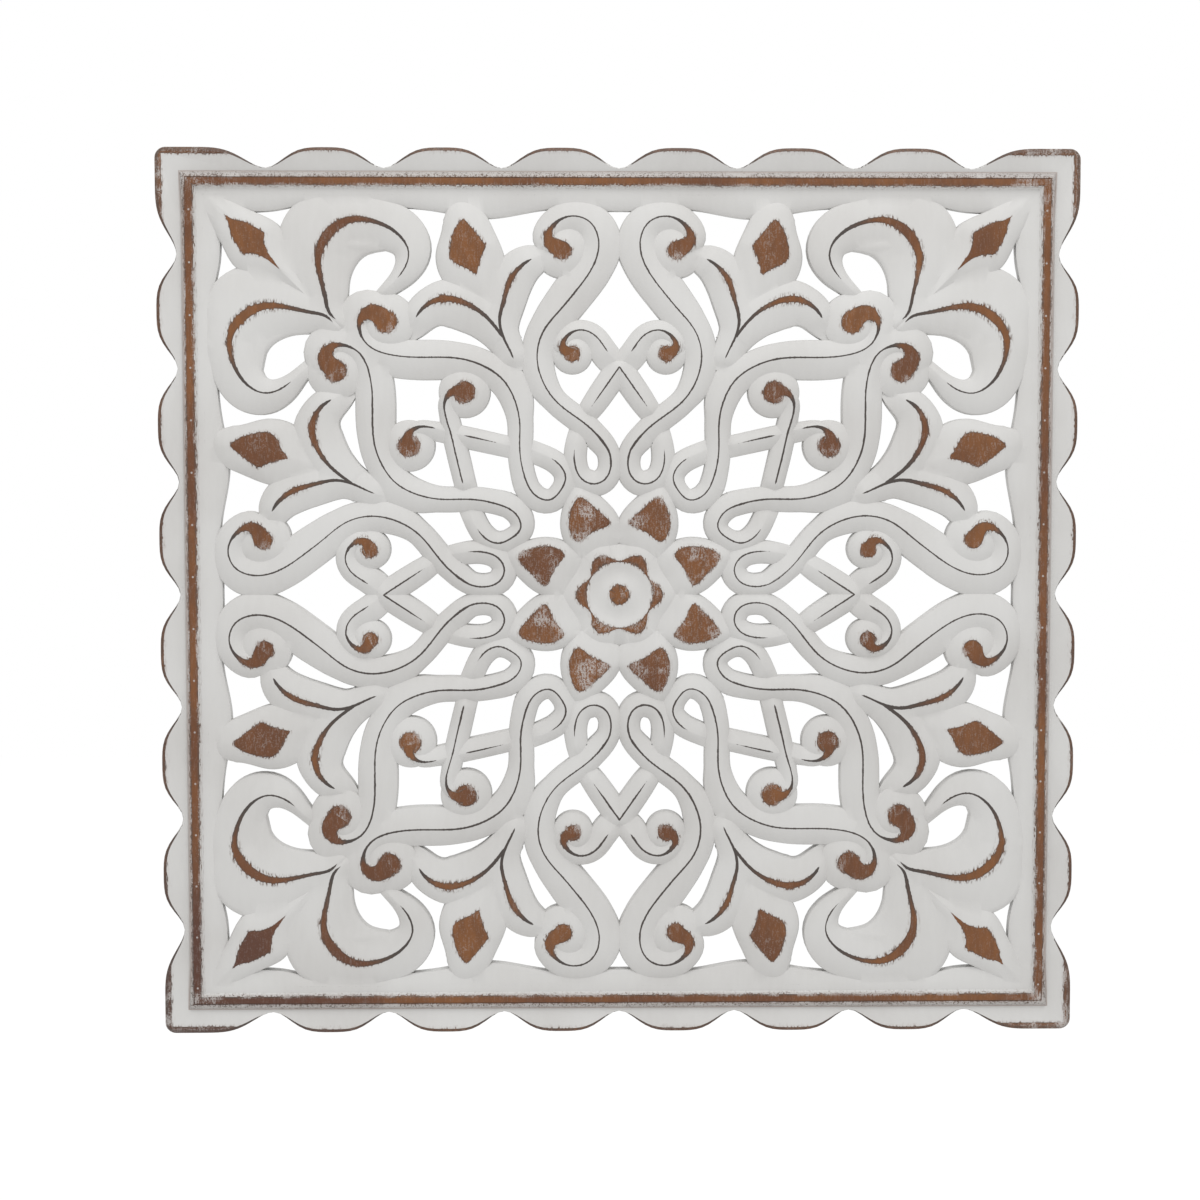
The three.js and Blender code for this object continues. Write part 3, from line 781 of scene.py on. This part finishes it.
def frame_ring():
    """Rim, border, bead and lip: one section carried round the board with mitred corners."""
    shares = smooth_line(LIP_EDGE) / (FIELD_X, FIELD_Y) * 100
    side = [*shares, *([-u, v] for u, v in shares[-2::-1])]
    rings, wear = [], []
    for turn in range(4):
        length, reach = (FIELD_Y, FIELD_X) if turn % 2 else (FIELD_X, FIELD_Y)
        turned = Matrix.Rotation(turn * math.pi / 2, 3, "Z")
        section = frame_section(LIP_CORNER, False, 1, 1)
        rings.append([turned @ Vector((length + out, reach + out, h)) for out, h, *_ in section])
        wear.append([row[2:] for row in section])
        for u, v in side:
            section = frame_section(v, turn % 2, growing(abs(u), *RUBBED_RIM),
                                    growing(abs(u), *RUBBED_BEAD))
            along = u * length / 100
            rings.append([turned @ Vector((along, reach + out, h)) for out, h, *_ in section])
            wear.append([row[2:] for row in section])
    return lofted("frame_ring", rings, wear, closed=True)


def scallop_drop(t):
    """Height of a scallop from its crest, 0, to the rounded valley, 1."""
    return -SCALLOP_DEPTH * (1 - math.cos(math.pi * t**SCALLOP_FULLNESS)) / 2


def scalloped_side(length):
    """Points of the top side from left to right, as (along, distance out from the crest line)."""
    corner_lobe = CORNER_LOBE * length / WIDTH
    pitch = (length - 2 * corner_lobe) / SCALLOPS
    lobes = []
    for lobe in range(SCALLOPS):
        middle = (lobe - (SCALLOPS - 1) / 2) * pitch
        for i in range(LOBE_STEPS):
            t = 2 * i / LOBE_STEPS - 1
            lobes.append((middle + t * pitch / 2, scallop_drop(abs(t))))
    rise = []
    for i in range(CORNER_STEPS + 1):
        t = i / CORNER_STEPS
        rise.append((length / 2 - corner_lobe + t * CORNER_RISE, scallop_drop(1 - t)))
    for i in range(ARC_STEPS + 1):
        angle = i / ARC_STEPS * math.pi / 4
        rise.append((length / 2 - RIM_CORNER * (1 - math.sin(angle)),
                     -RIM_CORNER * (1 - math.cos(angle))))
    return [*((-x, y) for x, y in reversed(rise)), *lobes[1:], *rise]


def scalloped_plate():
    """Plate with the scalloped outline, which trims the frame and rubs down its front edge: a
    wide worn cut on the crests, a narrow painted one in the valleys."""
    outline, crests, corners = [], [], []
    for turn in range(4):
        length, reach = (HEIGHT, WIDTH) if turn % 2 else (WIDTH, HEIGHT)
        turned = Matrix.Rotation(-turn * math.pi / 2, 2)
        for x, out in scalloped_side(length)[:-1]:
            outline.append(tuple(turned @ Vector((x, out + reach / 2))))
            crests.append(1 + out / SCALLOP_DEPTH)
            corners.append(growing(abs(x), length / 2 - CORNER_RISE, length / 2 - CORNER_RISE / 3))
    outline, crests, corners = np.array(outline), np.array(crests), np.array(corners)
    along = np.roll(outline, -1, axis=0) - np.roll(outline, 1, axis=0)
    inward = np.stack([along[:, 1], -along[:, 0]], axis=1)
    inward /= np.linalg.norm(inward, axis=1)[:, None]
    cut = VALLEY_CUT + (CREST_CUT - VALLEY_CUT) * crests
    inset = outline + cut[:, None] * inward

    def surface(points):
        out = np.maximum(np.abs(points[:, 0]) - FIELD_X, np.abs(points[:, 1]) - FIELD_Y)
        return np.array([rim_height(distance) for distance in out])

    rings = [
        [(x, y, -1 * MM) for x, y in outline],
        [(x, y, h - EDGE_CUT) for (x, y), h in zip(outline, surface(outline))],
        [(x, y, h + 0.15 * MM) for (x, y), h in zip(inset, surface(inset))],
        [(x, y, BOARD + 3 * MM) for x, y in inset],
    ]
    painted = [(FAR, 1 * MM, 0)] * len(outline)
    worn = [(0.2 * MM - 0.8 * MM * crest, 1.1 * MM + 0.5 * MM * crest, 0.2 + 0.45 * corner)
            for crest, corner in zip(crests, corners)]
    return lofted("scalloped_plate", rings, [painted, worn, worn, painted])


def panel_tree():
    """Joins the quarter's parts, sets the quarter down four times, trims the frame and drops the
    slivers that the joining leaves."""
    t = Tree(
        "Mirrored quarters", "GeometryNodeTree",
        [("Geometry", "NodeSocketGeometry"), ("Quarter parts", "NodeSocketCollection"),
         ("Middle parts", "NodeSocketCollection"), ("Trim", "NodeSocketObject"),
         ("Finish", "NodeSocketMaterial"), ("Back", "NodeSocketMaterial")],
        [("Geometry", "NodeSocketGeometry")],
    )

    def parts_of(label):
        return t.add("GeometryNodeCollectionInfo", Collection=t.given[label],
                     Separate_Children=True).outputs[0]

    def joined(*pieces):
        node = t.add("GeometryNodeMeshBoolean", {"operation": "UNION", "solver": "MANIFOLD"})
        for piece in pieces:
            t.tree.links.new(piece, node.inputs["Mesh 2"])
        return node.outputs["Mesh"]

    def mirrored(piece, scale):
        turned = t.add("GeometryNodeTransform", Geometry=piece, Scale=scale).outputs["Geometry"]
        return t.add("GeometryNodeFlipFaces", Mesh=turned).outputs["Mesh"]

    right = joined(parts_of("Quarter parts"))
    top = joined(right, mirrored(right, (-1, 1, 1)))
    lattice = joined(top, mirrored(top, (1, -1, 1)), parts_of("Middle parts"))
    plate = t.add("GeometryNodeObjectInfo", Object=t.given["Trim"]).outputs["Geometry"]
    trimmed = t.add("GeometryNodeMeshBoolean", {"operation": "INTERSECT", "solver": "MANIFOLD"})
    t.tree.links.new(lattice, trimmed.inputs["Mesh 2"])
    t.tree.links.new(plate, trimmed.inputs["Mesh 2"])
    island = t.add("GeometryNodeInputMeshIsland").outputs["Island Index"]
    faces = t.add("GeometryNodeAccumulateField", {"data_type": "INT", "domain": "FACE"},
                  Value=1, Group_ID=island)
    sliver = t.math("LESS_THAN", faces.outputs["Total"], SLIVER_FACES)
    whole = t.add("GeometryNodeDeleteGeometry", {"domain": "FACE"},
                  Geometry=trimmed.outputs["Mesh"], Selection=sliver).outputs[0]
    upright = t.add("GeometryNodeTransform", Geometry=whole, Rotation=(math.pi / 2, 0, 0))
    normal = t.add("GeometryNodeInputNormal").outputs[0]
    backward = t.add("ShaderNodeSeparateXYZ", Vector=normal).outputs["Y"]
    to_wall = t.math("GREATER_THAN", backward, 0.9)
    real = t.add("GeometryNodeRealizeInstances", Geometry=upright.outputs[0]).outputs[0]
    painted = t.add("GeometryNodeSetMaterial", Geometry=real, Material=t.given["Finish"])
    backed = t.add("GeometryNodeSetMaterial", Geometry=painted.outputs[0], Selection=to_wall,
                   Material=t.given["Back"])
    t.end("Geometry", backed.outputs["Geometry"])
    return t


def collection_of(name, members):
    made = bpy.data.collections.new(name)
    for member in members:
        made.objects.link(member)
        bpy.context.scene.collection.objects.unlink(member)
    return made


def carved_panel(finish, back):
    quarter = collection_of("quarter parts", quarter_parts(finish))
    middle = collection_of("middle parts", [flower(), frame_ring()])
    trim = scalloped_plate()
    panel = mesh_object("carved_panel", [(0, 0, 0)])
    add_tree(panel, panel_tree(), Quarter_parts=quarter, Middle_parts=middle, Trim=trim,
             Finish=finish, Back=back)
    finish_modifiers(panel)
    for part in [*quarter.objects, *middle.objects, trim]:
        bpy.data.objects.remove(part)
    for group in (quarter, middle):
        bpy.data.collections.remove(group)
    panel.data.set_sharp_from_angle(angle=SHARP_ANGLE)
    return panel


def faded(tree, value, start, end, low=0.0, high=1.0):
    """Low up to the start, high from the end, and a soft change between them."""
    return add_node(tree, "ShaderNodeMapRange", {"interpolation_type": "SMOOTHSTEP"}, Value=value,
                    From_Min=start, From_Max=end, To_Min=low, To_Max=high).outputs["Result"]


def blended(tree, factor, first, second):
    """Colour between two others."""
    node = add_node(tree, "ShaderNodeMix", {"data_type": "RGBA"})
    fill(tree, node.inputs["Factor"], factor)
    for socket, colour in zip((node.inputs[6], node.inputs[7]), (first, second)):
        fill(tree, socket, (*colour, 1) if isinstance(colour, tuple) else colour)
    return node.outputs[2]


def brush_and_fibre():
    """Patterns that the paint and the bare board share: brush marks, fibres, clouds and grit."""
    t = Tree(
        "Brush and fibre", "ShaderNodeTree",
        [("Place", "NodeSocketVector"), ("Fibre scale", "NodeSocketFloat", 900.0),
         ("Stretch", "NodeSocketFloat", 0.25), ("Cloud scale", "NodeSocketFloat", 14.0)],
        [("Fibre", "NodeSocketFloat"), ("Brush", "NodeSocketFloat"), ("Cloud", "NodeSocketFloat"),
         ("Smudge", "NodeSocketFloat"), ("Grit", "NodeSocketFloat")],
    )
    place = t.given["Place"]
    stretch = t.add("ShaderNodeCombineXYZ", X=1.0, Y=1.0, Z=t.given["Stretch"]).outputs[0]
    drawn_out = t.vector("MULTIPLY", place, stretch)
    fine = t.given["Fibre scale"]

    def noise(vector, scale, detail, roughness):
        return t.add("ShaderNodeTexNoise", Vector=vector, Scale=scale, Detail=detail,
                     Roughness=roughness).outputs["Fac"]

    t.end("Fibre", noise(drawn_out, fine, 3.0, 0.6))
    t.end("Brush", noise(drawn_out, t.math("MULTIPLY", fine, 0.3), 2.0, 0.5))
    t.end("Cloud", noise(place, t.given["Cloud scale"], 2.0, 0.5))
    t.end("Smudge", noise(place, t.math("MULTIPLY", t.given["Cloud scale"], 5.0), 2.0, 0.5))
    t.end("Grit", noise(place, t.math("MULTIPLY", fine, 1.5), 2.0, 0.7))
    return t


def finish_of(name, patterns, **sizes):
    """New material with the shared patterns, at the sizes given, and the place that they read."""
    material = bpy.data.materials.new(name)
    material.use_nodes = True
    tree = material.node_tree
    tree.nodes.clear()
    place = add_node(tree, "ShaderNodeTexCoord").outputs["Object"]
    group = add_node(tree, "ShaderNodeGroup", {"node_tree": patterns.tree}, Place=place, **sizes)
    return material, tree, group.outputs, place


def finished(tree, colour, roughness, height, depth):
    """Adds the shader itself, with a fine relief."""
    bump = add_node(tree, "ShaderNodeBump", Strength=0.5, Distance=depth, Height=height)
    shader = add_node(tree, "ShaderNodeBsdfPrincipled", Base_Color=colour, Roughness=roughness,
                      Normal=bump.outputs[0])
    shader.inputs["Specular IOR Level"].default_value = 0.25
    out = add_node(tree, "ShaderNodeOutputMaterial")
    tree.links.new(shader.outputs[0], out.inputs["Surface"])


def whitewashed_wood(patterns):
    """White brushed paint, worn through to brown wood along the crowns."""
    material, tree, pattern, place = finish_of("whitewashed_wood", patterns)

    def calc(operation, a, b=0.0):
        return calculated(tree, operation, a, b)

    def product(first, *others):
        for other in others:
            first = calc("MULTIPLY", first, other)
        return first

    def fade(value, start, end, low=0.0, high=1.0):
        return faded(tree, value, start, end, low, high)

    def blend(factor, first, second):
        return blended(tree, factor, first, second)

    def wear(name):
        return add_node(tree, "ShaderNodeAttribute", {"attribute_name": name}).outputs["Fac"]

    crown, width, left = (wear(name) for name in WEAR)
    broad = fade(width, 0.8 * MM, 2 * MM)

    # Ragged edge of the worn crown: short bristle marks, coarse on the broad crowns
    bristle = calc("MAXIMUM", calc("SUBTRACT", pattern["Fibre"], 0.47), 0.0)
    reach = fade(width, 0.8 * MM, 2.5 * MM, 1.2 * MM, 7 * MM)
    drift = product(calc("SUBTRACT", pattern["Cloud"], 0.5), 0.7 * MM)
    drift = calc("ADD", drift, product(broad, 0.15 * MM))
    edge = calc("ADD", calc("SUBTRACT", crown, product(bristle, reach)), drift)
    worn = fade(edge, 0.16 * MM, -0.06 * MM)

    # Wood: orange brown in the middle of broad crowns, grey brown on lines and at the edges. The
    # dark colour of the lines also paints the shade in the small groove of the bead on the flat
    # sides
    wood = blend(fade(pattern["Cloud"], 0.35, 0.65), DEEP_WOOD, WARM_WOOD)
    wood = blend(fade(pattern["Brush"], 0.35, 0.65, 0, 0.3), wood, DARK_GRAIN)
    from_corner = add_node(tree, "ShaderNodeVectorMath", {"operation": "DISTANCE"})
    fill(tree, from_corner.inputs[0], place)
    fill(tree, from_corner.inputs[1], DARK_CORNER)
    dark = fade(from_corner.outputs["Value"], DARK_REACH, 0.2 * DARK_REACH, 0, 0.85)
    wood = blend(dark, wood, CORNER_WOOD)
    dusk = product(fade(edge, -1.3 * MM, 0.0), fade(pattern["Grit"], 0.4, 0.6, 0.45, 1))
    wood = blend(dusk, wood, DUSKY_WOOD)
    wood = blend(fade(left, 0.55, 0.9, 0, 0.85), wood, GREY_WOOD)
    wood = blend(broad, LINE_WOOD_AND_GROOVE_SHADE, wood)

    # Paint that stayed in the scratches: thick where much is left, else in smudged patches
    speck = calc("ADD", product(pattern["Grit"], 0.5), product(pattern["Fibre"], 0.5))
    smudge = fade(pattern["Smudge"], 0.42, 0.66)
    amount = product(left, calc("ADD", product(smudge, 0.75), 0.25))
    amount = calc("MAXIMUM", amount, calc("SUBTRACT", product(left, 1.8), 0.9))
    held = fade(calc("ADD", speck, product(amount, 0.16)), 0.52, 0.62)
    held = product(held, broad, fade(amount, 0, 0.7, 0.1, 0.85))

    # Pale pin marks down the upright beads
    spot = add_node(tree, "ShaderNodeSeparateXYZ", Vector=place).outputs
    along = calc("PINGPONG", calc("SUBTRACT", spot["Z"], PIN_START), PIN_SPACING / 2)
    aside = calc("SUBTRACT", calc("ABSOLUTE", spot["X"]), FIELD_X - 0.6 * MM)
    apart = calc("SQRT", calc("ADD", product(along, along), product(aside, aside)))
    held = calc("MAXIMUM", held, fade(apart, PIN_SIZE, 0.4 * PIN_SIZE, 0, 0.7))

    # Paint: faint brush marks, and thin brown paint beside the wear and where it is scratched. On
    # the outer side of the upright beads the thin coat is also painted shade of the cove
    paint = blend(fade(pattern["Cloud"], 0.3, 0.7), SHADED_PAINT, CLEAN_PAINT)
    paint = blend(fade(pattern["Brush"], 0.3, 0.75, 0, 0.13), paint, BRUSHED_PAINT)
    veil_and_cove_shade = product(fade(edge, 1.9 * MM, 0.1 * MM, 0, 0.34), broad,
                   fade(pattern["Fibre"], 0.4, 0.62, 0.35, 1))
    thin_coat_and_cove_shade = product(fade(left, 0.5, 0.75), fade(crown, 2.4 * MM, 0, 0, 0.8),
                        fade(crown, -0.3 * MM, 0.1 * MM))
    paint = blend(calc("MAXIMUM", veil_and_cove_shade, thin_coat_and_cove_shade), paint, THIN_PAINT_AND_COVE_SHADE)

    # Long dark bristle streaks beside some of the worn crowns of the leaves, which are known by
    # their width and by the paint left on them
    leaf = product(fade(width, 1.4 * MM, 2.4 * MM), fade(width, 5.4 * MM, 4 * MM),
                   fade(left, 0.05, 0.1), fade(left, 0.2, 0.14))
    streak = product(leaf, fade(pattern["Fibre"], 0.46, 0.6), fade(pattern["Cloud"], 0.42, 0.58),
                     fade(crown, 3.2 * MM, 0, 0, 0.9))
    paint = blend(streak, paint, STREAK)

    colour = blend(product(worn, calc("SUBTRACT", 1.0, held)), paint, wood)
    relief = calc("SUBTRACT", product(pattern["Brush"], 0.6), product(worn, 0.5))
    relief = calc("ADD", relief, product(pattern["Fibre"], 0.4))
    finished(tree, colour, fade(worn, 0, 1, 0.62, 0.5), relief, 0.12 * MM)
    return material


def bare_board(patterns):
    """Unpainted back: pale brown pressed board with scattered fibres and a few rubs of paint."""
    material, tree, pattern, _ = finish_of("bare_board", patterns, Fibre_scale=700.0, Stretch=0.6,
                                           Cloud_scale=9.0)
    board = blended(tree, faded(tree, pattern["Cloud"], 0.3, 0.7), DULL_BOARD, PALE_BOARD)
    board = blended(tree, faded(tree, pattern["Grit"], 0.5, 0.72, 0, 0.5), board, BOARD_GRIT)
    board = blended(tree, faded(tree, pattern["Brush"], 0.62, 0.74, 0, 0.35), board, BOARD_RUB)
    finished(tree, board, 0.8, pattern["Fibre"], 0.08 * MM)
    return material


def studio():
    """Pale floor under the panel, soft light from above and in front."""
    corners = [(x * FLOOR_REACH, y * FLOOR_REACH, FLOOR_LEVEL)
               for x, y in ((-1, -1), (1, -1), (1, 1), (-1, 1))]
    floor = mesh_object("floor", corners, [(0, 1, 2, 3)])
    paint = bpy.data.materials.new("pale_floor")
    paint.use_nodes = True
    surface = paint.node_tree.nodes["Principled BSDF"]
    surface.inputs["Base Color"].default_value = (1, 1, 1, 1)
    surface.inputs["Roughness"].default_value = 1
    surface.inputs["Specular IOR Level"].default_value = 0
    floor.data.materials.append(paint)
    world = bpy.data.worlds.new("studio")
    world.use_nodes = True
    world.node_tree.nodes["Background"].inputs["Color"].default_value = (1, 1, 1, 1)
    world.node_tree.nodes["Background"].inputs["Strength"].default_value = 1.0
    bpy.context.scene.world = world
    light = bpy.data.lights.new("key", "AREA")
    light.shape = "DISK"
    light.size = LAMP_SIZE
    light.energy = LAMP_POWER
    lamp = bpy.data.objects.new("key", light)
    lamp.location = LAMP_PLACE
    lamp.rotation_euler = (-LAMP_PLACE).to_track_quat("-Z", "Y").to_euler()
    bpy.context.scene.collection.objects.link(lamp)


def camera():
    """Camera nearly square on to the face, a little above its middle."""
    lens = bpy.data.cameras.new("camera")
    lens.sensor_width = SENSOR
    lens.lens = FOCAL_LENGTH
    lens.shift_x, lens.shift_y = (pixels / PHOTO_SIDE for pixels in EYE_SHIFT)
    eye = bpy.data.objects.new("camera", lens)
    flat = EYE_DISTANCE * math.cos(EYE_RAISE)
    eye.location = (flat * math.sin(EYE_TURN), -flat * math.cos(EYE_TURN),
                    EYE_DISTANCE * math.sin(EYE_RAISE))
    eye.rotation_euler = (-eye.location).to_track_quat("-Z", "Y").to_euler()
    bpy.context.scene.collection.objects.link(eye)
    bpy.context.scene.camera = eye


patterns = brush_and_fibre()
panel = carved_panel(whitewashed_wood(patterns), bare_board(patterns))
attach(panel, "root")
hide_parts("panel")
studio()
camera()
bpy.context.scene.view_settings.view_transform = "Standard"
